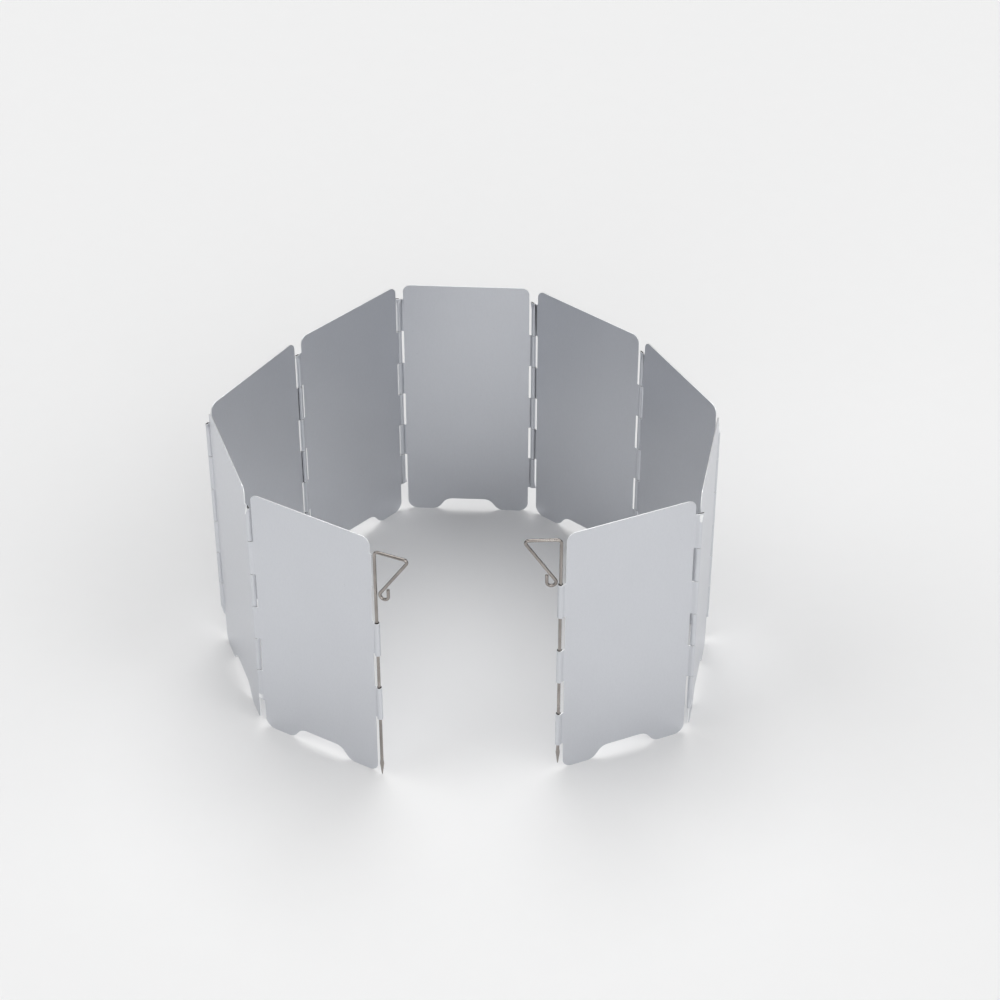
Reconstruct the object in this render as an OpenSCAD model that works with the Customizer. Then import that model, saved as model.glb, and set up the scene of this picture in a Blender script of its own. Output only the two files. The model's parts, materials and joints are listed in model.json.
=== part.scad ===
// Folding stove windscreen: nine sheet plates on rolled hinges, with a wire ground stake at each end.
// Millimetres. Plates and hinges are counted from the left end to the right end, seen from the open front.

/* [Plates] */
// Distance from one hinge axis to the next
plate_pitch = 83.5; // [75:0.5:120]
// Height of a plate
plate_height = 172.4; // [150:0.1:240]
// Sheet thickness
sheet = 0.55; // [0.4:0.05:0.7]
// Radius of the two top corners
top_corner_r = 5; // [2:0.5:12]
// Radius of the two bottom corners
foot_corner_r = 6.2; // [3:0.1:8]

/* [Vent notch] */
// Width of the notch's flat roof
vent_roof_w = 20.2; // [16:0.2:24]
// Distance between the flats of the two feet
vent_feet_w = 46.6; // [43:0.2:50]
// Height of the notch
vent_depth = 8.4; // [8:0.1:12]
// Radius of the curves in the notch's sides, made smaller where they don't fit
vent_curve_r = 7; // [3:0.1:8]

/* [Hinges] */
// Diameter of the hinge pins
pin_d = 1.9; // [1.6:0.05:2.4]
// Gap between a pin and the tube round it
pin_clearance = 0.05; // [0.03:0.01:0.1]
// Gap between the ends of neighbouring tubes
tube_gap = 0.3; // [0.2:0.1:1]
// Plate edge below the lowest tube
stack_foot = 19.3; // [17.5:0.1:30]
// Plate edge above the highest tube
stack_head = 10.3; // [8:0.1:20]
// Gap between a plate's edge and its neighbour's tubes
edge_gap = 1.7; // [1.5:0.1:3]
// Distance of a hinge axis from the middle of the sheet, so that plates fold flat
fold_offset = 0.4; // [0.38:0.01:0.5]
// Open slit beside the end of a rolled edge
curl_slit = 0.3; // [0.2:0.05:0.4]
// Direction of that slit, seen from the hinge axis
curl_slit_angle = 8; // [0:1:15]
// Length of the pinched end that keeps a pin in
pinch_length = 6.5; // [4:0.5:9]
// Gap under a pin's lower end
pin_seat_gap = 0.2; // [0.1:0.1:0.5]
// Play above a pin's upper end
pin_end_play = 1; // [0.5:0.1:2]
// Width of the stub left where the left end's top tube is cut off
stub_width = 0.8; // [0.4:0.1:1.2]

/* [Stakes] */
// Gap between a stake and the tubes round it
stake_clearance = 0.07; // [0.05:0.01:0.1]
// Height of the plate's top edge above the handle bar when the point stands on the ground
handle_below_top = 7.7; // [5:0.1:12]
// Reach of the handle from the shank, along the wire's middle
handle_reach = 19.4; // [16:0.1:24]
// Drop from the handle bar to the bottom of the hook
handle_drop = 31.8; // [26:0.1:36]
// Bend radius between shank and bar
shoulder_r = 2.5; // [2:0.1:3]
// Bend radius at the handle's far corner
corner_r = 1.7; // [1.4:0.1:2.5]
// Bend radius of the hook
hook_r = 2.55; // [2:0.05:3]
// Straight end of the hook
hook_end = 5; // [3:0.5:7]
// Gap between the hook and a tube that it slides past
hook_gap = 0.12; // [0.1:0.01:0.4]
// Width of the flattened point
spade_w = 2.4; // [2.3:0.05:3]
// Thickness of the flattened point
spade_t = 1.1; // [0.8:0.05:1.4]
// Height of the widest place above the tip
spade_wide_at = 8.5; // [7:0.1:9.5]
// Height above the tip where the wire is round again
spade_length = 12.5; // [11:0.1:12.5]
// Height of the left stake's tip above the ground
left_lift = 0; // [0:0.1:4]
// Height of the right stake's tip above the ground
right_lift = 4.6; // [0:0.1:5.5]
// Turn of the left handle from the line of its plate
left_handle_turn = 6.4; // [-20:0.1:20]
// Turn of the right handle from the line of its plate
right_handle_turn = -20.3; // [-30:0.1:20]

/* [Ring as it stands] */
// Bend at hinge 1, left end
bend_1 = 40.3; // [36:0.1:44]
// Bend at hinge 2
bend_2 = 53.6; // [50:0.1:57]
// Bend at hinge 3
bend_3 = 10.3; // [6:0.1:14]
// Bend at hinge 4, left of the middle plate
bend_4 = 48.4; // [45:0.1:52]
// Bend at hinge 5, right of the middle plate
bend_5 = 37.2; // [33:0.1:41]
// Bend at hinge 6
bend_6 = 20.8; // [17:0.1:24]
// Bend at hinge 7
bend_7 = 40; // [36:0.1:44]
// Bend at hinge 8, right end
bend_8 = 56; // [52:0.1:60]

/* [Hidden] */
$fn = 64;

plate_count = 9;
last_plate = plate_count - 1;
middle_plate = floor(plate_count / 2);
tube_count = 6;
aluminium = [0.74, 0.75, 0.77];
steel = [0.55, 0.52, 0.50];
// The handle's wire has this many sides, and bends in steps of at most this many degrees
wire_sides = 16;
bend_step = 18;
// Overshoot of a cut past the surface it opens
past = 1;
// A form that ends inside a round one is this much thinner than it
seam = 0.02;

bore_r = pin_d / 2 + pin_clearance;
tube_r = bore_r + sheet;
// Radius of the rolled sheet's middle layer
roll_r = bore_r + sheet / 2;
// Plate edge, measured from the hinge axis
edge_x = tube_r + edge_gap;
plate_width = plate_pitch - 2 * edge_x;
tube_pitch = (plate_height - stack_foot - stack_head) / tube_count;
stack_top = plate_height - stack_head;
tube_length = tube_pitch - tube_gap;
// A tube pressed flat is half its girth wide and two sheets thick
pinch_width = PI * roll_r + sheet;

stake_r = bore_r - stake_clearance;
bar_height = plate_height - handle_below_top;

bends = [bend_1, bend_2, bend_3, bend_4, bend_5, bend_6, bend_7, bend_8];

// Vent notch: its curves take at most this share of the largest radius that fits its sides
curve_share = 0.98;
side_run = (vent_feet_w - vent_roof_w) / 2;
curve_limit = (side_run * side_run + vent_depth * vent_depth) / (4 * vent_depth);
curve_r = min(vent_curve_r, curve_share * curve_limit);
// Centres of the foot curve and the roof curve, and the step from the first to the second
foot_curve = [vent_feet_w / 2, curve_r];
roof_curve = [vent_roof_w / 2, vent_depth - curve_r];
curve_step = roof_curve - foot_curve;
// Both curves touch their common tangent at this vector from the foot curve's centre
touch_angle = atan2(curve_step[1], curve_step[0]) + acos(2 * curve_r / norm(curve_step));
touch = curve_r * [cos(touch_angle), sin(touch_angle)];

// Handle: centres of its bends in the plane of the wire, [distance from the shank, height above the tip]
hook_centre = [tube_r + hook_gap + stake_r + hook_r, bar_height - handle_drop + hook_r];
corner_centre = [handle_reach - corner_r, bar_height - corner_r];
// The slanting stretch is the tangent that runs inside one bend and outside the other
slant_step = corner_centre - hook_centre;
slant_angle = atan2(slant_step[1], slant_step[0]) - asin((hook_r + corner_r) / norm(slant_step));

function turned(v, angle) = [v[0] * cos(angle) - v[1] * sin(angle), v[0] * sin(angle) + v[1] * cos(angle)];

// Direction of a plate, from its left hinge to its right hinge
function heading(i) =
    i > middle_plate ? heading(i - 1) - bends[i - 1] :
    i < middle_plate ? heading(i + 1) + bends[i] : 0;

// Side of the sheet that an axis lies on: even hinges fold outwards and odd ones inwards, into a flat stack
function axis_side(j) = j % 2 == 0 ? fold_offset : -fold_offset;

// Place of a plate's left edge line, before the ring is centred
function plate_spot(i) =
    i > middle_plate ? plate_spot(i - 1) + turned([plate_pitch, axis_side(i)], heading(i - 1))
        - turned([0, axis_side(i)], heading(i)) :
    i < middle_plate ? plate_spot(i + 1) + turned([0, axis_side(i + 1)], heading(i + 1))
        - turned([plate_pitch, axis_side(i + 1)], heading(i)) :
    [-plate_pitch / 2, 0];

// Place of a hinge axis; 0 and 9 are the stakes' axes
function hinge_spot(j) =
    j > last_plate ? plate_spot(last_plate) + turned([plate_pitch, axis_side(j)], heading(last_plate)) :
    plate_spot(j) + turned([0, axis_side(j)], heading(j));

left_handle_heading = heading(0) + 180 + left_handle_turn;
right_handle_heading = heading(last_plate) + right_handle_turn;

// Half width of a hinge along X and Y: its round tube or the pinched ends of the two plates on it
function slab_reach(along, aside) = aside < 2 * sheet / pinch_width ? pinch_width / 2
    : sqrt(pow(pinch_width / 2, 2) - pow(sheet, 2)) * along + sheet * aside;
function pinch_reach(angle) =
    [slab_reach(abs(cos(angle)), abs(sin(angle))), slab_reach(abs(sin(angle)), abs(cos(angle)))];
function hinge_reach(j, k) = max(tube_r, pinch_reach(heading(j))[k], pinch_reach(heading(j - 1))[k]);

// The origin is under the middle of the ring's outer box
handle_tip = hinge_spot(0) + handle_reach * [cos(left_handle_heading), sin(left_handle_heading)];
low_x = min([for (j = [1:last_plate]) hinge_spot(j)[0] - hinge_reach(j, 0)]);
high_x = max([for (j = [1:last_plate]) hinge_spot(j)[0] + hinge_reach(j, 0)]);
high_y = max([for (j = [1:last_plate]) hinge_spot(j)[1] + hinge_reach(j, 1)]);
low_y = min(handle_tip[1] - stake_r, hinge_spot(plate_count)[1] - tube_r);
centre = [(low_x + high_x) / 2, (low_y + high_y) / 2];

// Direction and length of the step from a plate's edge to the tangent of its roll
function step_reach(offset_y) = norm([edge_x, offset_y]);
function step_angle(offset_y) = atan2(offset_y, -edge_x) - asin(roll_r / step_reach(offset_y));
function step_run(offset_y) = sqrt(pow(step_reach(offset_y), 2) - pow(roll_r, 2));

// Height of the lower end of a tube, counted from the top
function tube_foot(n) = stack_foot + (tube_count - n) * tube_pitch + tube_gap / 2;

// What stays outside a rounded corner whose point is at the origin and whose sides run along +X and +Y
module corner_waste(r) {
    difference() {
        translate([-past, -past]) square(r + past);
        translate([r, r]) circle(r);
    }
}

module vent_half() {
    difference() {
        union() {
            polygon([[0, -past], [0, vent_depth], [roof_curve[0], vent_depth], roof_curve - touch,
                foot_curve + touch, [foot_curve[0], 0], [foot_curve[0], -past]]);
            translate(roof_curve) circle(curve_r);
        }
        translate(foot_curve) circle(curve_r);
    }
}

// Flat outline of a plate, without its tabs
module plate_outline() {
    difference() {
        translate([edge_x, 0]) square([plate_width, plate_height]);
        translate([plate_pitch / 2, 0]) {
            vent_half();
            mirror([1, 0]) vent_half();
        }
        for (flip = [0, 1]) translate([flip * plate_pitch, 0]) mirror([flip, 0]) {
            translate([edge_x, 0]) corner_waste(foot_corner_r);
            translate([edge_x, plate_height]) mirror([0, 1]) corner_waste(top_corner_r);
        }
    }
}

// Section through a rolled tab on a left edge: the sheet steps outwards and curls back round the pin
module roll_section(offset_y) {
    difference() {
        union() {
            translate([0, offset_y]) circle(tube_r);
            translate([edge_x, 0]) {
                rotate(step_angle(offset_y)) translate([0, -sheet / 2]) square([step_run(offset_y), sheet]);
                circle(sheet / 2);
            }
        }
        translate([0, offset_y]) {
            circle(bore_r);
            rotate(curl_slit_angle) translate([0, -curl_slit / 2]) square([tube_r + past / 2, curl_slit]);
        }
    }
}

module tube(n, offset_y) {
    translate([0, 0, tube_foot(n)]) linear_extrude(tube_length) roll_section(offset_y);
}

// Tube whose upper end is pressed flat: it narrows one way and widens the other, from the round to two layers
module pinched_tube(offset_y) {
    round_end = tube_length - pinch_length;
    linear_extrude(round_end) roll_section(offset_y);
    translate([0, offset_y, round_end]) intersection() {
        cylinder(r1 = tube_r, r2 = pinch_width / 2, h = pinch_length);
        rotate([90, 0, 90]) linear_extrude(2 * pinch_width, center = true)
            polygon([[-tube_r, 0], [tube_r, 0], [sheet, pinch_length], [-sheet, pinch_length]]);
    }
    translate([0, -sheet / 2, round_end]) cube([edge_x + sheet, sheet, pinch_length]);
}

// One plate at its own left hinge: X runs to its right hinge and +Y is the outer face
module plate_body(i) {
    left_side = axis_side(i);
    right_side = axis_side(i + 1);
    rotate([90, 0, 0]) linear_extrude(sheet, center = true) {
        plate_outline();
        if (i == 0) translate([edge_x - stub_width, tube_foot(1)]) square([stub_width + past, tube_length]);
    }
    if (i > 0) translate([0, 0, tube_foot(1)]) pinched_tube(left_side);
    for (n = [3, 5]) tube(n, left_side);
    translate([plate_pitch, 0, 0]) mirror([1, 0, 0]) {
        for (n = [2, 4]) tube(n, right_side);
        if (i == last_plate) tube(tube_count, right_side);
        else translate([0, 0, tube_foot(tube_count) + tube_length]) mirror([0, 0, 1]) pinched_tube(right_side);
    }
}

module plate(i) {
    spot = plate_spot(i) - centre;
    color(aluminium) translate([spot[0], spot[1], 0]) rotate(heading(i)) plate_body(i);
}

module hinge_pin(j) {
    spot = hinge_spot(j) - centre;
    foot = stack_foot + pinch_length + tube_gap / 2 + pin_seat_gap;
    head = stack_top - pinch_length - tube_gap / 2 - pin_end_play;
    color(steel) translate([spot[0], spot[1], foot]) cylinder(d = pin_d, h = head - foot);
}

// Wire along a planar path of [x, z, direction] stops
module wire(stops, r) {
    count = len(stops);
    points = [for (stop = stops, k = [0:wire_sides - 1]) let (t = 360 * k / wire_sides)
        [stop[0] - r * cos(t) * sin(stop[2]), r * sin(t), stop[1] + r * cos(t) * cos(stop[2])]];
    walls = [for (i = [0:count - 2], k = [0:wire_sides - 1]) let (next = (k + 1) % wire_sides)
        [i * wire_sides + k, i * wire_sides + next, (i + 1) * wire_sides + next, (i + 1) * wire_sides + k]];
    first_cap = [for (k = [wire_sides - 1:-1:0]) k];
    last_cap = [for (k = [0:wire_sides - 1]) (count - 1) * wire_sides + k];
    polyhedron(points, concat([first_cap], walls, [last_cap]));
}

// Stops along an arc from one angle through a sweep
function arc_stops(centre_at, r, from, sweep) =
    let (steps = ceil(abs(sweep) / bend_step))
    [for (k = [0:steps]) let (a = from + sweep * k / steps)
        [centre_at[0] + r * cos(a), centre_at[1] + r * sin(a), a + (sweep > 0 ? 90 : -90)]];

// Flattened point, widest at spade_wide_at and ending inside the round wire
module spade() {
    top = spade_length + past;
    intersection() {
        rotate([90, 0, 0]) linear_extrude(2 * stake_r, center = true)
            polygon([[-spade_w / 8, 0], [spade_w / 8, 0], [spade_w / 2, spade_wide_at], [spade_w / 4, top],
                [-spade_w / 4, top], [-spade_w / 2, spade_wide_at]]);
        rotate([90, 0, 90]) linear_extrude(2 * spade_w, center = true)
            polygon([[-spade_t / 4, 0], [spade_t / 4, 0], [spade_t / 2, spade_wide_at], [spade_t / 2, top],
                [-spade_t / 2, top], [-spade_t / 2, spade_wide_at]]);
    }
    translate([0, 0, spade_wide_at])
        cylinder(r1 = spade_t / 2 - seam, r2 = stake_r, h = spade_length - spade_wide_at);
}

// Stake with its tip at the origin, its shank along +Z and its handle towards +X
module stake_body() {
    shank_top = bar_height - shoulder_r;
    spade();
    translate([0, 0, spade_length]) cylinder(r = stake_r, h = shank_top - spade_length);
    wire(concat([[0, shank_top - past, 90]],
        arc_stops([shoulder_r, shank_top], shoulder_r, 180, -90),
        arc_stops(corner_centre, corner_r, 90, slant_angle - 180),
        arc_stops(hook_centre, hook_r, slant_angle + 90, 270 - slant_angle),
        [[hook_centre[0] + hook_r, hook_centre[1] + hook_end, 90]]), stake_r - seam);
}

module stake(j, lift, turn) {
    spot = hinge_spot(j) - centre;
    color(steel) translate([spot[0], spot[1], lift]) rotate(turn) stake_body();
}

for (i = [0:last_plate]) plate(i);
for (j = [1:last_plate]) hinge_pin(j);
stake(0, left_lift, left_handle_heading);  // stake_left
stake(plate_count, right_lift, right_handle_heading);  // stake_right
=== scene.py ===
"""Scene for the folding stove windscreen: sheet plates, stakes, materials, floor, light and camera."""
import json
import math

import bpy
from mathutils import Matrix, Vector
from mathutils.geometry import delaunay_2d_cdt


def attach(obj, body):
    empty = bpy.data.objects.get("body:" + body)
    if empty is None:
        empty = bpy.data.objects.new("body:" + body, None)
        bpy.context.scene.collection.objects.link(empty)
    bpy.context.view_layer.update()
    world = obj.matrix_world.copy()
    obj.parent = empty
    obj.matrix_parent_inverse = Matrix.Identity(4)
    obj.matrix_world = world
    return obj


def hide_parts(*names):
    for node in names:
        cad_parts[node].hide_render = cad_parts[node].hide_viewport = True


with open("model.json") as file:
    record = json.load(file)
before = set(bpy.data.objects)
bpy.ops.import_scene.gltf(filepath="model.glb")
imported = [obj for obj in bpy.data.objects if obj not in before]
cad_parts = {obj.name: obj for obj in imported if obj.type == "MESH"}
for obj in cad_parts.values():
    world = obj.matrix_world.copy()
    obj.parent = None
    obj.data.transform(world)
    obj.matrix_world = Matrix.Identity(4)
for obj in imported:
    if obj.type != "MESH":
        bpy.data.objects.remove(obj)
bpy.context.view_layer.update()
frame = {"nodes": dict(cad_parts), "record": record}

# Sizes in millimetres, the same as in the part's own source
MM = 0.001
PITCH = 83.5
HEIGHT = 172.4
SHEET = 0.55
TOP_CORNER_R = 5.0
FOOT_CORNER_R = 6.2
VENT_ROOF_W = 20.2
VENT_FEET_W = 46.6
VENT_DEPTH = 8.4
VENT_CURVE_R = 7.0
BORE_R = 1.0
TUBE_R = BORE_R + SHEET
TUBE_GAP = 0.3
STACK_FOOT = 19.3
STACK_HEAD = 10.3
TUBE_COUNT = 6
FOLD_OFFSET = 0.4
STUB_WIDTH = 0.8
TUBE_PITCH = (HEIGHT - STACK_FOOT - STACK_HEAD) / TUBE_COUNT
TUBE_LENGTH = TUBE_PITCH - TUBE_GAP

# The tubes as they look: close to the plates' edges, and rolled a little loosely round the stakes
ROLL_R = BORE_R + SHEET / 2
LOOSE = 0.11
EDGE_X = 2.9
# A tab leaves the plate's plane at this distance from the hinge axis, in a bend of this radius. The bend
# turns by STEEPEST_STEP at most, and the curl ends at CURL_END, both in radians.
STEP_X = 2.25
STEP_R = 0.5
STEEPEST_STEP = 1.2
CURL_END = math.radians(361)
# The tubes' outer ends as they look: pressed from the outer side, down to two layers with a slit between
PRESS_LENGTH = 5.2
PRESS_FLAT_LENGTH = 0.4
PRESS_HALF_WIDTH = 2.25
PRESS_FOOT_X = 1.5
PRESS_END_X = 4.0
PRESS_SHIFT = 0.2
PRESS_EASE = 1.5
LAYER_R = 0.37
# Painted highlight on the facet of a pressed end: a triangle that widens with the share of the
# press, no deeper than FACET_DEPTH and level by FACET_LEVEL at least
FACET_FIRST_SHARE = 0.06
FACET_LAST_SHARE = 0.99
FACET_X = -0.1
FACET_HALF_WIDTH = 0.3
FACET_GROWTH = 2.1
FACET_LEVEL = 0.75
FACET_DEPTH = 0.02

# Corners of the tabs and of the notches at their roots
TAB_CORNER_R = 0.4
ROOT_R = 0.35
# The sheet's rim, rounded as it comes from the blanking tool: distance from the outline, and height
HALF = SHEET / 2
RIM = [(0.28, HALF), (0.10, HALF), (0.03, HALF - 0.03), (0.0, HALF - 0.10),
       (0.0, -HALF + 0.10), (0.03, -HALF + 0.03), (0.10, -HALF), (0.28, -HALF)]
# Width of the rim that is painted near white as a highlight
RIM_PAINTED_HIGHLIGHT_WIDTH = 0.05

# The plate's slight waviness: heights of two waves, the lengths over which each turns by a radian, and how
# far each is shifted per radian of the plate's own phase
LONG_WAVE = 0.22
LONG_WAVE_UP = 61.0
LONG_WAVE_ALONG = 47.0
LONG_WAVE_SHIFT = 2.3
SHORT_WAVE = 0.07
SHORT_WAVE_UP = 23.0
SHORT_WAVE_ALONG = 31.0
SHORT_WAVE_SHIFT = 0.7
PLATE_PHASE = 1.7
HOLD_POWER = 0.8

# Fineness of the meshes: steps of the round outlines, the grid over a plate and its distance from the edges
CORNER_STEPS = 10
VENT_STEPS = 9
SMALL_STEPS = 3
STEP_BEND_STEPS = 4
CURL_STEPS = 28
LAYER_STEPS = 8
PRESS_ROWS = 10
TUBE_ROWS = 4
ROOT_ROW_HEIGHT = 4
GRID = 5.2
GRID_MARGIN = 2
CORNER_MARGIN = 5
VENT_MARGIN = 1
WIRE_SIDES = 28
SHANK_ROWS = 9
SHOULDER_STEPS = 12
HANDLE_CORNER_STEPS = 14
HOOK_STEPS = 26
# Points of the outline closer than CLOSE are one, places that differ by less than SAME are equal, and MERGE
# is the triangulation's own tolerance
CLOSE = 0.02
SAME = 1e-6
MERGE = 1e-5

# Stakes: wire, handle with its hook, and flattened point
STAKE_R = 0.93
BAR_HEIGHT = HEIGHT - 7.7
HANDLE_REACH = 19.4
HANDLE_DROP = 31.8
SHOULDER_R = 2.5
CORNER_R = 1.7
HOOK_R = 2.55
HOOK_END = 5.0
HOOK_GAP = 0.12
SPADE_W = 2.4
SPADE_T = 1.1
SPADE_WIDE_AT = 8.5
SPADE_LENGTH = 12.5
END_CHAMFER = 0.14
# Directions of the two handles, in degrees from +X
LEFT_HANDLE_HEADING = 339.0
RIGHT_HANDLE_HEADING = -174.3

# Colours as red, green, blue and alpha: the sheet, the wires and the surroundings
SHEET_LIGHT = (0.647, 0.662, 0.696, 1)
SHEET_DARK = (0.625, 0.640, 0.674, 1)
GRAIN_COLOUR = (0.50, 0.51, 0.54, 1)
MARK_COLOUR = (0.44, 0.45, 0.48, 1)
# Painted highlight on cut edges and pressed facets, standing in for the light they would catch
PAINTED_HIGHLIGHT_COLOUR = (0.92, 0.93, 0.94, 1)
# Painted shade inside the rolled tubes and between the pressed layers, near black
BORE_SHADE_COLOUR = (0.035, 0.036, 0.040, 1)
STAKE_LIGHT = (0.44, 0.41, 0.385, 1)
STAKE_DARK = (0.28, 0.255, 0.24, 1)
PIN_LIGHT = (0.50, 0.49, 0.47, 1)
PIN_DARK = (0.38, 0.37, 0.36, 1)
FLOOR_LIGHT = (0.835, 0.835, 0.835, 1)
FLOOR_DARK = (0.825, 0.825, 0.825, 1)
# The camera sees the world in the lit floor's shade, so no horizon shows
WORLD_SEEN = (0.876, 0.877, 0.877, 1)
WORLD_STRENGTH = 0.08

# Suns: name, azimuth and elevation in degrees, strength, and angle across in degrees
SUNS = [("sun_front", 0, 20, 1.05, 50), ("sun_left", -90, 45, 0.98, 50), ("sun_front_right", 45, 35, 0.8, 50),
        ("sun_right", 90, 45, 0.66, 50), ("sun_back", 180, 65, 1.2, 40)]

# Camera, where the photograph was taken from: place in metres, turn to the left and tilt down in degrees, and
# lens and sensor width in millimetres
CAMERA_PLACE = (0.0822, -1.2049, 1.0462)
CAMERA_TURN = 2.89
CAMERA_TILT = 37.89
CAMERA_LENS = 93.70
SENSOR_WIDTH = 36.0

PLATES = ["plate_left_end", "plate_left_front", "plate_left_side", "plate_left_back", "plate_middle",
          "plate_right_back", "plate_right_side", "plate_right_front", "plate_right_end"]
BODIES = ["left_end", "left_front", "left_side", "left_back", "middle",
          "right_back", "right_side", "right_front", "right_end"]
LAST = len(PLATES) - 1


# Where the hinges and the plates stand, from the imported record
def record_point(entry):
    return Vector((entry["pos_m"][0], entry["pos_m"][1])) / MM


joints = {entry["name"]: entry for entry in frame["record"]["behaviour"]["joints"]}
mounts = {entry["name"]: entry for entry in frame["record"]["mounts"]}
HINGE_JOINTS = ["left_end_fold", "left_front_fold", "left_side_fold", "left_fold",
                "right_fold", "right_side_fold", "right_front_fold", "right_end_fold"]
hinges = ([record_point(mounts["left_stake_point"])]
          + [record_point(joints[name]) for name in HINGE_JOINTS]
          + [record_point(mounts["right_stake_point"])])


def axis_side(j):
    """How far the axis of hinge j lies from its plates' planes, outwards and inwards by turns."""
    return FOLD_OFFSET if j % 2 == 0 else -FOLD_OFFSET


def plate_place(i):
    """Left edge line and heading, in radians, of plate i."""
    line = hinges[i + 1] - hinges[i]
    heading = math.atan2(line.y, line.x) - math.atan2(axis_side(i + 1) - axis_side(i), PITCH)
    across = Vector((-math.sin(heading), math.cos(heading)))
    return hinges[i] - across * axis_side(i), heading


def tube_foot(n):
    """Height of the lower end of tube n, counted from the top."""
    return STACK_FOOT + (TUBE_COUNT - n) * TUBE_PITCH + TUBE_GAP / 2


# Rolled tabs: a tab is a strip of the flat sheet, bent along a centre line
def arc_points(centre, radius, start, end, steps):
    """Points of an arc, between two angles in radians."""
    return [Vector((centre[0] + radius * math.cos(start + (end - start) * k / steps),
                    centre[1] + radius * math.sin(start + (end - start) * k / steps)))
            for k in range(steps + 1)]


def step_point(turn):
    """Where the bend at a tab's root has brought the sheet once it has turned by this angle."""
    return Vector((STEP_X - STEP_R * math.sin(turn), STEP_R * (1 - math.cos(turn))))


def roll_line(offset, roll_r):
    """Centre line of a round tab at a left edge, from the plate's edge to the end of the curl."""
    axis = Vector((0.0, offset))

    def climb(turn):
        """How far the straight run after a bend of this angle misses the roll, and the run's direction."""
        along = Vector((-math.cos(turn), math.sin(turn)))
        aside = Vector((-along.y, along.x))
        return (axis - step_point(turn)).dot(aside) - roll_r, along

    # The bend's angle is found by halving, so that the straight run meets the roll as a tangent
    halvings = 50
    low, high = 0.0, STEEPEST_STEP
    for _ in range(halvings):
        turn = (low + high) / 2
        if climb(turn)[0] < 0:
            low = turn
        else:
            high = turn
    start = step_point(turn)
    along = climb(turn)[1]
    touch = start + along * (axis - start).dot(along)
    bend = [step_point(turn * k / STEP_BEND_STEPS) for k in range(STEP_BEND_STEPS + 1)]
    first = math.atan2(touch.y - axis.y, touch.x - axis.x)
    return [Vector((EDGE_X, 0.0))] + bend + arc_points(axis, roll_r, first, CURL_END, CURL_STEPS)


def pressed_line(offset):
    """Centre line of the same tab pressed down into two layers."""
    middle = offset - PRESS_SHIFT
    turn_x = LAYER_R - PRESS_HALF_WIDTH
    return ([Vector((EDGE_X, 0.0)), Vector((PRESS_FOOT_X, middle + LAYER_R))]
            + arc_points((turn_x, middle), LAYER_R, math.radians(90), math.radians(270), LAYER_STEPS)
            + [Vector((PRESS_END_X, middle - LAYER_R))])


def line_lengths(line):
    """Length along a polyline at each of its points."""
    lengths = [0.0]
    for a, b in zip(line, line[1:]):
        lengths.append(lengths[-1] + (b - a).length)
    return lengths


def resample(line, stops):
    """Points of a polyline at the given lengths along it."""
    lengths = line_lengths(line)
    points = []
    k = 0
    for stop in stops:
        while k < len(line) - 2 and lengths[k + 1] < stop:
            k += 1
        share = (stop - lengths[k]) / (lengths[k + 1] - lengths[k])
        points.append(line[k].lerp(line[k + 1], share))
    return points


class Tab:
    """One tab at a left edge, in the flat: lengths along it, and where each comes to lie."""

    def __init__(self, n, hinge, kind, mirrored):
        self.low = tube_foot(n)
        self.high = self.low + TUBE_LENGTH
        self.kind = kind
        self.mirrored = mirrored
        self.offset = axis_side(hinge)
        self.roll_r = ROLL_R + LOOSE if hinge in (0, LAST + 1) else ROLL_R
        if kind == "stub":
            self.stops = [0.0, STUB_WIDTH]
            self.round_line = [Vector((EDGE_X, 0.0)), Vector((EDGE_X - STUB_WIDTH, 0.0))]
            self.pressed_points = self.round_line
            return
        self.round_line = roll_line(self.offset, self.roll_r)
        self.stops = line_lengths(self.round_line)
        self.pressed_points = resample(pressed_line(self.offset), self.stops)

    def reach(self):
        return self.stops[-1]

    def inner_stops(self):
        """Stops between the rounded notch at the root and the rounded corners at the tip."""
        return [d for d in self.stops if ROOT_R + CLOSE < d < self.reach() - TAB_CORNER_R - CLOSE]

    def along(self, d):
        """Place along the flat sheet at length d from the plate's edge."""
        return PITCH - EDGE_X + d if self.mirrored else EDGE_X - d

    def press(self, z):
        """0 where the tab is round and 1 where it is pressed flat."""
        if self.kind == "pinched_top":
            share = 1 - (self.high - PRESS_FLAT_LENGTH - z) / (PRESS_LENGTH - PRESS_FLAT_LENGTH)
        elif self.kind == "pinched_foot":
            share = 1 - (z - self.low - PRESS_FLAT_LENGTH) / (PRESS_LENGTH - PRESS_FLAT_LENGTH)
        else:
            share = 0.0
        return min(max(share, 0.0), 1.0)

    def face(self, share):
        """How far the sheet's middle stands out at most, where the tab is pressed by this share."""
        return self.offset + self.roll_r + (LAYER_R - PRESS_SHIFT - self.roll_r) * share

    def place(self, d, z):
        """Point of the sheet's middle at length d from the plate's edge, and its outward normal."""
        share = self.press(z)

        def at(length):
            length = min(max(length, 0.0), self.reach())
            a = resample(self.round_line, [length])[0]
            if share == 0:
                return a
            b = resample(self.pressed_points, [length])[0]
            point = a.lerp(b, share ** PRESS_EASE)
            return Vector((point.x, min(point.y, max(self.face(share), b.y))))

        step = 0.12
        step_on_plate = 0.3
        point = at(d)
        ahead = at(min(d + step, self.reach()))
        behind = at(max(d - step, 0.0))
        if d < step:
            behind = Vector((EDGE_X + step_on_plate, 0.0))
        along = (ahead - behind).normalized()
        return point, Vector((along.y, -along.x))

    def facet_highlight_share(self, d, z):
        """1 where a highlight is painted on the pressed end's flat outer facet, and 0 elsewhere."""
        share = self.press(z)
        if not FACET_FIRST_SHARE < share < FACET_LAST_SHARE:
            return 0.0
        point, normal = self.place(d, z)
        lies_flat = point.y > self.face(share) - FACET_DEPTH and normal.y > FACET_LEVEL
        in_width = abs(point.x - FACET_X) < FACET_HALF_WIDTH + FACET_GROWTH * share
        return 1.0 if lies_flat and in_width else 0.0


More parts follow.
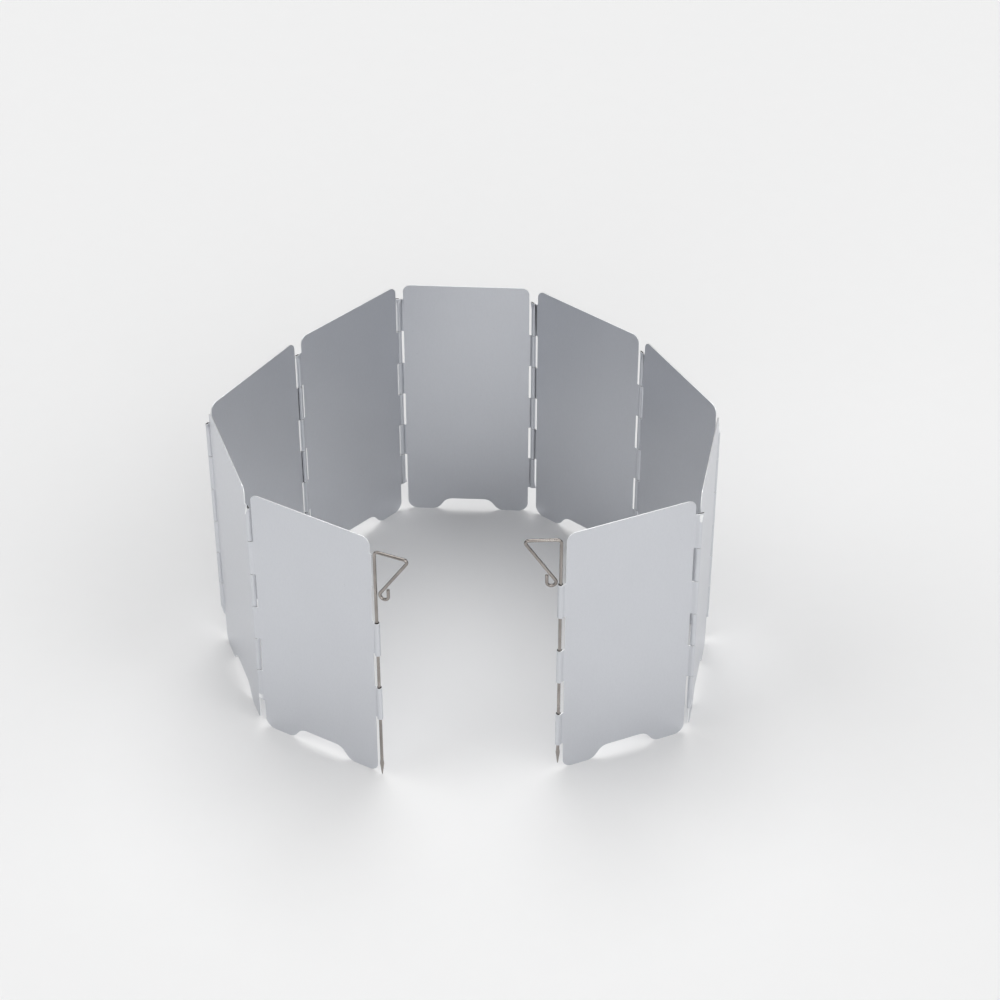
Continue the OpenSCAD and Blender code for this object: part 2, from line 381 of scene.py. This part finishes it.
def plate_tabs(i):
    """Left and right tabs of plate i."""
    left = [Tab(1, i, "stub" if i == 0 else "pinched_top", False)]
    left += [Tab(n, i, "round", False) for n in (3, 5)]
    right = [Tab(n, i + 1, "round", True) for n in (2, 4)]
    right.append(Tab(6, i + 1, "round" if i == LAST else "pinched_foot", True))
    return left, right


# Flat outline of the sheet, walked anticlockwise: (s, z) with s along the sheet and z up
def corner(centre, radius, start, end, steps):
    """Points of a round corner, between two angles in degrees."""
    return [(p.x, p.y) for p in arc_points(centre, radius, math.radians(start), math.radians(end), steps)]


def vent_points():
    """Left half of the notch, from the foot's flat up to the middle of the roof."""
    foot = Vector((VENT_FEET_W / 2, VENT_CURVE_R))
    roof = Vector((VENT_ROOF_W / 2, VENT_DEPTH - VENT_CURVE_R))
    step = roof - foot
    touch = math.degrees(math.atan2(step.y, step.x) + math.acos(2 * VENT_CURVE_R / step.length)) % 360
    half = corner(foot, VENT_CURVE_R, 270, touch, VENT_STEPS)
    half += corner(roof, VENT_CURVE_R, touch - 180, 90, VENT_STEPS)
    return [(PITCH / 2 - s, z) for s, z in half]


def tab_outline(tab):
    """Outline of a tab at the left edge, from its upper root to its lower root."""
    root_s = EDGE_X - ROOT_R
    tip_s = EDGE_X - tab.reach() + TAB_CORNER_R
    inner = [EDGE_X - d for d in tab.inner_stops()]
    points = corner((root_s, tab.high + ROOT_R), ROOT_R, 0, -90, SMALL_STEPS)
    points += [(s, tab.high) for s in inner]
    points += corner((tip_s, tab.high - TAB_CORNER_R), TAB_CORNER_R, 90, 180, SMALL_STEPS)
    points += corner((tip_s, tab.low + TAB_CORNER_R), TAB_CORNER_R, 180, 270, SMALL_STEPS)
    points += [(s, tab.low) for s in reversed(inner)]
    points += corner((root_s, tab.low - ROOT_R), ROOT_R, 90, 0, SMALL_STEPS)
    return points


def sheet_outline(left, right):
    """Closed outline of the flat sheet with its tabs, anticlockwise from the left foot."""
    low, high = EDGE_X, PITCH - EDGE_X
    half = vent_points()
    points = corner((low + FOOT_CORNER_R, FOOT_CORNER_R), FOOT_CORNER_R, 180, 270, CORNER_STEPS)
    points += half
    points += [(PITCH - s, z) for s, z in reversed(half)]
    points += corner((high - FOOT_CORNER_R, FOOT_CORNER_R), FOOT_CORNER_R, 270, 360, CORNER_STEPS)
    for tab in sorted(right, key=lambda t: t.low):
        points += [(PITCH - s, z) for s, z in reversed(tab_outline(tab))]
    points += corner((high - TOP_CORNER_R, HEIGHT - TOP_CORNER_R), TOP_CORNER_R, 0, 90, CORNER_STEPS)
    points += corner((low + TOP_CORNER_R, HEIGHT - TOP_CORNER_R), TOP_CORNER_R, 90, 180, CORNER_STEPS)
    for tab in sorted(left, key=lambda t: -t.low):
        points += tab_outline(tab)
    clean = []
    for p in points:
        if not clean or math.dist(p, clean[-1]) > CLOSE:
            clean.append(p)
    if math.dist(clean[0], clean[-1]) < CLOSE:
        clean.pop()
    return clean


def inset_loop(points, distance):
    """The loop moved inwards by a distance along its own normals."""
    if distance == 0:
        return [Vector(p) for p in points]
    least_stretch = 0.6
    moved = []
    count = len(points)
    for k in range(count):
        before, here, after = (Vector(points[(k + d) % count]) for d in (-1, 0, 1))
        first = (here - before).normalized()
        second = (after - here).normalized()
        bisector = Vector((-first.y - second.y, first.x + second.x)).normalized()
        stretch = max(least_stretch, bisector.dot(Vector((-first.y, first.x))))
        moved.append(here + bisector * distance / stretch)
    return moved


def near_tab(tabs, z):
    """The tab at this height, counting the notches at its root."""
    for tab in tabs:
        if tab.low - 2 * ROOT_R < z < tab.high + 2 * ROOT_R:
            return tab
    return None


def wave(i, s, z):
    """How far the thin sheet stands off its plane, nothing at its hinged edges."""
    across = (s - EDGE_X) / (PITCH - 2 * EDGE_X)
    if not 0 < across < 1:
        return 0.0
    hold = math.sin(math.pi * across) ** HOLD_POWER
    phase = PLATE_PHASE * i
    long_wave = math.sin(z / LONG_WAVE_UP + phase) * math.cos(s / LONG_WAVE_ALONG + LONG_WAVE_SHIFT * phase)
    short_wave = math.sin(z / SHORT_WAVE_UP + s / SHORT_WAVE_ALONG + SHORT_WAVE_SHIFT * phase)
    return hold * (LONG_WAVE * long_wave + SHORT_WAVE * short_wave)


def column_rows(tab, low, high):
    """Heights of a tab column's inner points, from its upper end to its lower end."""
    press = []
    if tab.kind == "pinched_top":
        start = tab.high - PRESS_LENGTH
        press = [start + PRESS_LENGTH * k / PRESS_ROWS for k in range(PRESS_ROWS)]
    elif tab.kind == "pinched_foot":
        press = [tab.low + PRESS_LENGTH * k / PRESS_ROWS for k in range(1, PRESS_ROWS + 1)]
    press_clear = 1
    end_clear = 0.3
    rows = [tab.low + TUBE_LENGTH * k / TUBE_ROWS for k in range(1, TUBE_ROWS)]
    if press:
        rows = [z for z in rows if not press[0] - press_clear < z < press[-1] + press_clear]
    return sorted((z for z in press + rows if low + end_clear < z < high - end_clear), reverse=True)


def tab_columns(tab, outline, inner, flat, edges):
    """Adds a tab's columns, which keep the facets of its roll straight, and its root line."""
    for d in tab.inner_stops():
        s = tab.along(d)
        ends = [k for k in range(len(inner)) if abs(outline[k][0] - s) < SAME
                and tab.low - CLOSE < outline[k][1] < tab.high + CLOSE]
        if len(ends) != 2:
            continue
        top, foot = sorted(ends, key=lambda k: -outline[k][1])
        chain = [top]
        for z in column_rows(tab, inner[foot].y, inner[top].y):
            flat.append((s, z))
            chain.append(len(flat) - 1)
        chain.append(foot)
        edges += list(zip(chain, chain[1:]))
    root_clear = 0.2
    rows = max(3, math.ceil(TUBE_LENGTH / ROOT_ROW_HEIGHT))
    chain = []
    for k in range(rows + 1):
        z = tab.low + ROOT_R + root_clear + (TUBE_LENGTH - 2 * ROOT_R - 2 * root_clear) * k / rows
        flat.append((tab.along(0), z))
        chain.append(len(flat) - 1)
    edges += list(zip(chain, chain[1:]))


def plate_grid():
    """Points over the plate's face, which carry its slight waviness."""
    width = PITCH - 2 * EDGE_X - 2 * GRID_MARGIN
    height = HEIGHT - 2 * GRID_MARGIN
    columns = round(width / GRID)
    rows = round(height / GRID)
    points = []
    for a in range(columns + 1):
        for b in range(rows + 1):
            s = EDGE_X + GRID_MARGIN + width * a / columns
            z = GRID_MARGIN + height * b / rows
            by_vent = z < VENT_DEPTH + GRID_MARGIN and abs(s - PITCH / 2) < VENT_FEET_W / 2 + VENT_MARGIN
            by_side = min(abs(s - EDGE_X), abs(PITCH - EDGE_X - s)) < CORNER_MARGIN
            by_end = z < CORNER_MARGIN or z > HEIGHT - CORNER_MARGIN
            if not by_vent and not (by_side and by_end):
                points.append((s, z))
    return points


class Sheet:
    """Mesh of one plate in its own frame, X along it, Y up and Z out, bent from its flat outline.

    Each vertex has a rim share, 1 on cut edges and pressed facets, where a highlight is painted, and a bore
    share, 1 inside a tube, where shade is painted.
    """

    def __init__(self, i):
        self.number = i
        self.left, self.right = plate_tabs(i)
        self.vertices = []
        self.faces = []
        self.rim = []
        self.bore = []
        self.build()

    def tab_at(self, s, z):
        """Tab that a point of the flat sheet lies on, if any, and its length from the plate's edge."""
        if s < EDGE_X:
            return near_tab(self.left, z), EDGE_X - s
        if s > PITCH - EDGE_X:
            return near_tab(self.right, z), s - (PITCH - EDGE_X)
        return None, 0.0

    def add(self, p, w, rim):
        """Adds the vertex of a point of the flat sheet, w from its middle, where the bent sheet has it."""
        s, z = p
        tab, d = self.tab_at(s, z)
        if tab:
            point, normal = tab.place(d, z)
            x, out = point.x + normal.x * w, point.y + normal.y * w
            if tab.mirrored:
                x = PITCH - point.x - normal.x * w
        else:
            x, out = s, wave(self.number, s, z) + w
        self.vertices.append(Vector((x, z, out)))
        self.rim.append(rim)
        # Share of the painted shade: 1 on the sheet's inner face within a roll, 0 on its outer face
        in_roll = tab and d > EDGE_X
        self.bore.append((HALF - w) / (2 * HALF) if in_roll else 0.0)
        return len(self.vertices) - 1

    # Share of the painted highlight at a point of the flat sheet, on the pressed ends' facets
    def paint_facet_highlight(self, p):
        tab, d = self.tab_at(p[0], p[1])
        return tab.facet_highlight_share(d, p[1]) if tab else 0.0

    def build(self):
        outline = sheet_outline(self.left, self.right)
        loops = [inset_loop(outline, distance) for distance, _ in RIM]
        inner = loops[0]
        count = len(inner)
        flat = [tuple(p) for p in inner]
        edges = [(k, (k + 1) % count) for k in range(count)]
        for tab in self.left + self.right:
            tab_columns(tab, outline, inner, flat, edges)
        flat += plate_grid()
        inside_only = 1
        flat = [Vector(p) for p in flat]
        points, _, faces, origin, _, _ = delaunay_2d_cdt(flat, edges, [], inside_only, MERGE)
        home = {source: k for k, sources in enumerate(origin) for source in sources}

        used = {k for face in faces for k in face}
        front = {k: self.add(points[k], HALF, self.paint_facet_highlight(points[k])) for k in used}
        back = {k: self.add(points[k], -HALF, 0.0) for k in used}
        for face in faces:
            self.faces.append([front[k] for k in face])
            self.faces.append([back[k] for k in face][::-1])
        rings = [[front[home[k]] for k in range(count)]]
        for loop, (distance, w) in zip(loops[1:-1], RIM[1:-1]):
            # The outermost rim rings are painted near white as a highlight
            rim = 0.0 if distance > RIM_PAINTED_HIGHLIGHT_WIDTH else 1.0
            rings.append([self.add(p, w, rim) for p in loop])
        rings.append([back[home[k]] for k in range(count)])
        for upper, lower in zip(rings, rings[1:]):
            for k in range(count):
                after = (k + 1) % count
                self.faces.append([upper[k], lower[k], lower[after], upper[after]])


def mesh_object(name, vertices, faces, smooth=True):
    mesh = bpy.data.meshes.new(name)
    mesh.from_pydata(vertices, [], faces)
    mesh.validate()
    mesh.update()
    if smooth:
        mesh.polygons.foreach_set("use_smooth", [True] * len(mesh.polygons))
    piece = bpy.data.objects.new(name, mesh)
    bpy.context.scene.collection.objects.link(piece)
    return piece


def add_plate(i, material):
    sheet = Sheet(i)
    spot, heading = plate_place(i)
    cos, sin = math.cos(heading), math.sin(heading)
    placed = []
    for x, z, out in sheet.vertices:
        placed.append(((spot.x + x * cos - out * sin) * MM, (spot.y + x * sin + out * cos) * MM, z * MM))
    piece = mesh_object("sheet_" + PLATES[i].removeprefix("plate_"), placed, sheet.faces)
    for name, shares in (("rim", sheet.rim), ("bore", sheet.bore)):
        piece.data.attributes.new(name, "FLOAT", "POINT").data.foreach_set("value", shares)
    piece.data.materials.append(material)
    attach(piece, BODIES[i])
    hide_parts(PLATES[i])
    return piece


# Stakes: one bent wire each, with a flattened point
def stake_stops():
    """Stops along the wire: x, z, direction, half width, half thickness and squareness of its section.

    The flattened point is a table of heights and sections, so its proportions stand in it as numbers.
    """
    stops = []
    round_power = 2.0
    round_wire = (STAKE_R, STAKE_R, round_power)
    sections = [(0.0, SPADE_W / 8 * 0.6, SPADE_T / 4 * 0.6, 3.0), (0.25, SPADE_W / 8, SPADE_T / 4, 3.5),
                (SPADE_WIDE_AT * 0.5, SPADE_W * 0.31, SPADE_T * 0.375, 4.5),
                (SPADE_WIDE_AT - 1.2, SPADE_W * 0.46, SPADE_T * 0.47, 4.5),
                (SPADE_WIDE_AT - 0.3, SPADE_W * 0.497, SPADE_T * 0.5, 4.5),
                (SPADE_WIDE_AT + 0.3, SPADE_W * 0.495, SPADE_T * 0.5, 4.2),
                (SPADE_WIDE_AT + 1.2, SPADE_W * 0.46, SPADE_T * 0.56, 3.4),
                (SPADE_LENGTH - 1.2, STAKE_R * 1.04, STAKE_R * 0.86, 2.3),
                (SPADE_LENGTH, *round_wire)]
    for z, half_w, half_t, power in sections:
        stops.append((0.0, z, 90.0, half_w, half_t, power))
    shank_top = BAR_HEIGHT - SHOULDER_R
    for k in range(1, SHANK_ROWS):
        z = SPADE_LENGTH + (shank_top - SPADE_LENGTH) * k / SHANK_ROWS
        stops.append((0.0, z, 90.0, *round_wire))
    hook = Vector((TUBE_R + HOOK_GAP + STAKE_R + HOOK_R, BAR_HEIGHT - HANDLE_DROP + HOOK_R))
    far = Vector((HANDLE_REACH - CORNER_R, BAR_HEIGHT - CORNER_R))
    step = far - hook
    slant = math.degrees(math.atan2(step.y, step.x) - math.asin((HOOK_R + CORNER_R) / step.length))

    def bend(centre, radius, start, sweep, steps):
        for k in range(steps + 1):
            a = start + sweep * k / steps
            stops.append((centre[0] + radius * math.cos(math.radians(a)),
                          centre[1] + radius * math.sin(math.radians(a)),
                          a + (90 if sweep > 0 else -90), *round_wire))

    bend((SHOULDER_R, shank_top), SHOULDER_R, 180, -90, SHOULDER_STEPS)
    bend(far, CORNER_R, 90, slant - 180, HANDLE_CORNER_STEPS)
    bend(hook, HOOK_R, slant + 90, 270 - slant, HOOK_STEPS)
    end = (hook.x + HOOK_R, hook.y + HOOK_END)
    stops.append((end[0], end[1] - END_CHAMFER, 90.0, *round_wire))
    stops.append((end[0], end[1], 90.0, STAKE_R - END_CHAMFER, STAKE_R - END_CHAMFER, round_power))
    return stops


def add_stake(name, hinge, lift, heading, material, body):
    stops = stake_stops()
    angle = math.radians(heading)
    cos, sin = math.cos(angle), math.sin(angle)
    vertices = []
    for x, z, direction, half_w, half_t, power in stops:
        turn = math.radians(direction)
        for k in range(WIRE_SIDES):
            t = 2 * math.pi * k / WIRE_SIDES
            a = math.copysign(abs(math.cos(t)) ** (2 / power), math.cos(t)) * half_w
            b = math.copysign(abs(math.sin(t)) ** (2 / power), math.sin(t)) * half_t
            along, up = x - a * math.sin(turn), z + a * math.cos(turn)
            vertices.append(((hinges[hinge].x + along * cos - b * sin) * MM,
                             (hinges[hinge].y + along * sin + b * cos) * MM, (up + lift) * MM))
    faces = []
    for i in range(len(stops) - 1):
        for k in range(WIRE_SIDES):
            after = (k + 1) % WIRE_SIDES
            low, high = i * WIRE_SIDES, (i + 1) * WIRE_SIDES
            faces.append([low + k, high + k, high + after, low + after])
    faces.append(list(range(WIRE_SIDES)))
    faces.append([(len(stops) - 1) * WIRE_SIDES + k for k in reversed(range(WIRE_SIDES))])
    piece = mesh_object("wire_" + name, vertices, faces)
    for polygon in piece.data.polygons[-2:]:
        polygon.use_smooth = False
    piece.data.materials.append(material)
    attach(piece, body)
    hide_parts(name)
    return piece


# Materials
def new_material(name):
    material = bpy.data.materials.new(name)
    material.use_nodes = True
    tree = material.node_tree
    tree.nodes.clear()
    shader = tree.nodes.new("ShaderNodeBsdfPrincipled")
    output = tree.nodes.new("ShaderNodeOutputMaterial")
    tree.links.new(shader.outputs["BSDF"], output.inputs["Surface"])
    return material, tree, shader


def noise(tree, scale, stretch, detail, seed=0.0):
    """Noise in the object's own metres, stretched along its axes."""
    place = tree.nodes.new("ShaderNodeTexCoord")
    mapping = tree.nodes.new("ShaderNodeMapping")
    mapping.inputs["Scale"].default_value = stretch
    mapping.inputs["Location"].default_value = (seed, seed * 0.7, seed * 1.3)
    texture = tree.nodes.new("ShaderNodeTexNoise")
    texture.inputs["Scale"].default_value = scale
    texture.inputs["Detail"].default_value = detail
    tree.links.new(place.outputs["Object"], mapping.inputs["Vector"])
    tree.links.new(mapping.outputs["Vector"], texture.inputs["Vector"])
    return texture.outputs["Fac"]


def ramp(tree, value, low, high, first, last):
    node = tree.nodes.new("ShaderNodeMapRange")
    node.inputs["From Min"].default_value = low
    node.inputs["From Max"].default_value = high
    node.inputs["To Min"].default_value = first
    node.inputs["To Max"].default_value = last
    tree.links.new(value, node.inputs["Value"])
    return node.outputs["Result"]


def mix_colour(tree, share, first, last):
    node = tree.nodes.new("ShaderNodeMix")
    node.data_type = "RGBA"
    factor, a, b = node.inputs[0], node.inputs[6], node.inputs[7]
    for socket, value in ((factor, share), (a, first), (b, last)):
        if isinstance(value, (tuple, float, int)):
            socket.default_value = value
        else:
            tree.links.new(value, socket)
    return node.outputs[2]


def arithmetic(tree, operation, first, second):
    node = tree.nodes.new("ShaderNodeMath")
    node.operation = operation
    for socket, value in zip(node.inputs, (first, second)):
        if isinstance(value, (float, int)):
            socket.default_value = value
        else:
            tree.links.new(value, socket)
    return node.outputs["Value"]


def bump(tree, height, distance, strength):
    node = tree.nodes.new("ShaderNodeBump")
    node.inputs["Distance"].default_value = distance
    node.inputs["Strength"].default_value = strength
    tree.links.new(height, node.inputs["Height"])
    return node.outputs["Normal"]


def aluminium_material():
    """Satin anodised sheet: fine grain, faint clouds, small marks, a painted highlight on cut edges and
    pressed facets, and painted shade inside the bores.
    """
    material, tree, shader = new_material("anodised_sheet")
    shader.inputs["Metallic"].default_value = 0.78
    grain = noise(tree, 1300.0, (1.0, 1.0, 0.35), 3.0)
    cloud = noise(tree, 22.0, (1.0, 1.0, 0.6), 2.0, 3.1)
    mark = noise(tree, 420.0, (1.0, 1.0, 1.0), 1.0, 8.2)
    colour = mix_colour(tree, ramp(tree, cloud, 0.3, 0.7, 0.0, 1.0), SHEET_DARK, SHEET_LIGHT)
    colour = mix_colour(tree, ramp(tree, grain, 0.35, 0.65, 0.0, 0.08), colour, GRAIN_COLOUR)
    colour = mix_colour(tree, ramp(tree, mark, 0.76, 0.82, 0.0, 0.2), colour, MARK_COLOUR)
    # Painted highlight: cut edges and pressed facets are mixed towards near white
    rim = tree.nodes.new("ShaderNodeAttribute")
    rim.attribute_name = "rim"
    colour = mix_colour(tree, rim.outputs["Fac"], colour, PAINTED_HIGHLIGHT_COLOUR)
    # Painted shade: the insides of the rolls are mixed towards near black
    bore = tree.nodes.new("ShaderNodeAttribute")
    bore.attribute_name = "bore"
    bore_shade_share = ramp(tree, bore.outputs["Fac"], 0.1, 0.6, 0.0, 1.0)
    colour = mix_colour(tree, bore_shade_share, colour, BORE_SHADE_COLOUR)
    tree.links.new(colour, shader.inputs["Base Color"])
    rough = ramp(tree, cloud, 0.3, 0.7, 0.32, 0.37)
    rough = arithmetic(tree, "ADD", rough, ramp(tree, grain, 0.3, 0.7, -0.02, 0.02))
    tree.links.new(rough, shader.inputs["Roughness"])
    tree.links.new(bump(tree, grain, 0.00001, 0.25), shader.inputs["Normal"])
    return material


def steel_material(name, light, dark, seed):
    """Drawn wire: lengthwise draw marks, a little darker than the dark colour, and a thin brownish film."""
    material, tree, shader = new_material(name)
    shader.inputs["Metallic"].default_value = 1.0
    draw = noise(tree, 1500.0, (1.0, 1.0, 0.03), 2.0, seed)
    film = noise(tree, 90.0, (1.0, 1.0, 0.7), 2.0, seed + 2.0)
    colour = mix_colour(tree, ramp(tree, film, 0.3, 0.7, 0.0, 1.0), dark, light)
    mark_colour = (*[c * 0.7 for c in dark[:3]], 1)
    colour = mix_colour(tree, ramp(tree, draw, 0.4, 0.65, 0.0, 0.3), colour, mark_colour)
    tree.links.new(colour, shader.inputs["Base Color"])
    tree.links.new(ramp(tree, film, 0.3, 0.7, 0.20, 0.30), shader.inputs["Roughness"])
    tree.links.new(bump(tree, draw, 0.00002, 0.3), shader.inputs["Normal"])
    return material


sheet_metal = aluminium_material()
stake_steel = steel_material("stake_steel", STAKE_LIGHT, STAKE_DARK, 1.0)
pin_steel = steel_material("pin_steel", PIN_LIGHT, PIN_DARK, 5.0)

for index in range(len(PLATES)):
    add_plate(index, sheet_metal)
left_lift = mounts["left_stake_point"]["pos_m"][2] / MM
right_lift = mounts["right_stake_point"]["pos_m"][2] / MM
add_stake("stake_left", 0, left_lift, LEFT_HANDLE_HEADING, stake_steel, "left_stake")
add_stake("stake_right", LAST + 1, right_lift, RIGHT_HANDLE_HEADING, stake_steel, "right_stake")

for j in range(1, LAST + 1):
    pin = frame["nodes"]["pin_%d" % j]
    pin.data.materials.clear()
    pin.data.materials.append(pin_steel)


# Floor, world and lamps
def add_floor():
    size = 30.0
    floor = mesh_object("floor", [(-size, -size, 0), (size, -size, 0), (size, size, 0), (-size, size, 0)],
                        [[0, 1, 2, 3]], smooth=False)
    material, tree, shader = new_material("floor_paper")
    grain = noise(tree, 60.0, (1.0, 1.0, 1.0), 2.0)
    colour = mix_colour(tree, grain, FLOOR_DARK, FLOOR_LIGHT)
    tree.links.new(colour, shader.inputs["Base Color"])
    shader.inputs["Roughness"].default_value = 1.0
    shader.inputs["Specular IOR Level"].default_value = 0.0
    floor.data.materials.append(material)


def add_sun(name, azimuth, elevation, strength, angle):
    """Soft distant light; azimuth 0 comes from the front, and 90 from the right."""
    lamp = bpy.data.lights.new(name, "SUN")
    lamp.energy = strength
    lamp.angle = math.radians(angle)
    light = bpy.data.objects.new(name, lamp)
    bpy.context.scene.collection.objects.link(light)
    a, e = math.radians(azimuth), math.radians(elevation)
    towards = Vector((math.sin(a) * math.cos(e), -math.cos(a) * math.cos(e), math.sin(e)))
    light.rotation_euler = towards.to_track_quat("Z", "Y").to_euler()


def add_world():
    """Faint light from all sides, with a shade of its own for the camera."""
    world = bpy.data.worlds.new("studio")
    bpy.context.scene.world = world
    world.use_nodes = True
    tree = world.node_tree
    tree.nodes.clear()
    lit = tree.nodes.new("ShaderNodeBackground")
    lit.inputs["Color"].default_value = (WORLD_STRENGTH, WORLD_STRENGTH, WORLD_STRENGTH * 1.01, 1)
    seen = tree.nodes.new("ShaderNodeBackground")
    seen.inputs["Color"].default_value = WORLD_SEEN
    path = tree.nodes.new("ShaderNodeLightPath")
    mix = tree.nodes.new("ShaderNodeMixShader")
    output = tree.nodes.new("ShaderNodeOutputWorld")
    tree.links.new(path.outputs["Is Camera Ray"], mix.inputs[0])
    tree.links.new(lit.outputs[0], mix.inputs[1])
    tree.links.new(seen.outputs[0], mix.inputs[2])
    tree.links.new(mix.outputs[0], output.inputs["Surface"])


add_floor()
add_world()
for sun in SUNS:
    add_sun(*sun)


def add_camera():
    data = bpy.data.cameras.new("camera")
    data.sensor_width = SENSOR_WIDTH
    data.lens = CAMERA_LENS
    data.clip_start = 0.05
    data.clip_end = 100.0
    camera = bpy.data.objects.new("camera", data)
    bpy.context.scene.collection.objects.link(camera)
    turn, tilt = math.radians(CAMERA_TURN), math.radians(CAMERA_TILT)
    forward = Vector((-math.sin(turn) * math.cos(tilt), math.cos(turn) * math.cos(tilt), -math.sin(tilt)))
    facing = forward.to_track_quat("-Z", "Y").to_matrix().to_4x4()
    facing.translation = CAMERA_PLACE
    camera.matrix_world = facing
    bpy.context.scene.camera = camera


add_camera()
bpy.context.scene.view_settings.view_transform = "Standard"
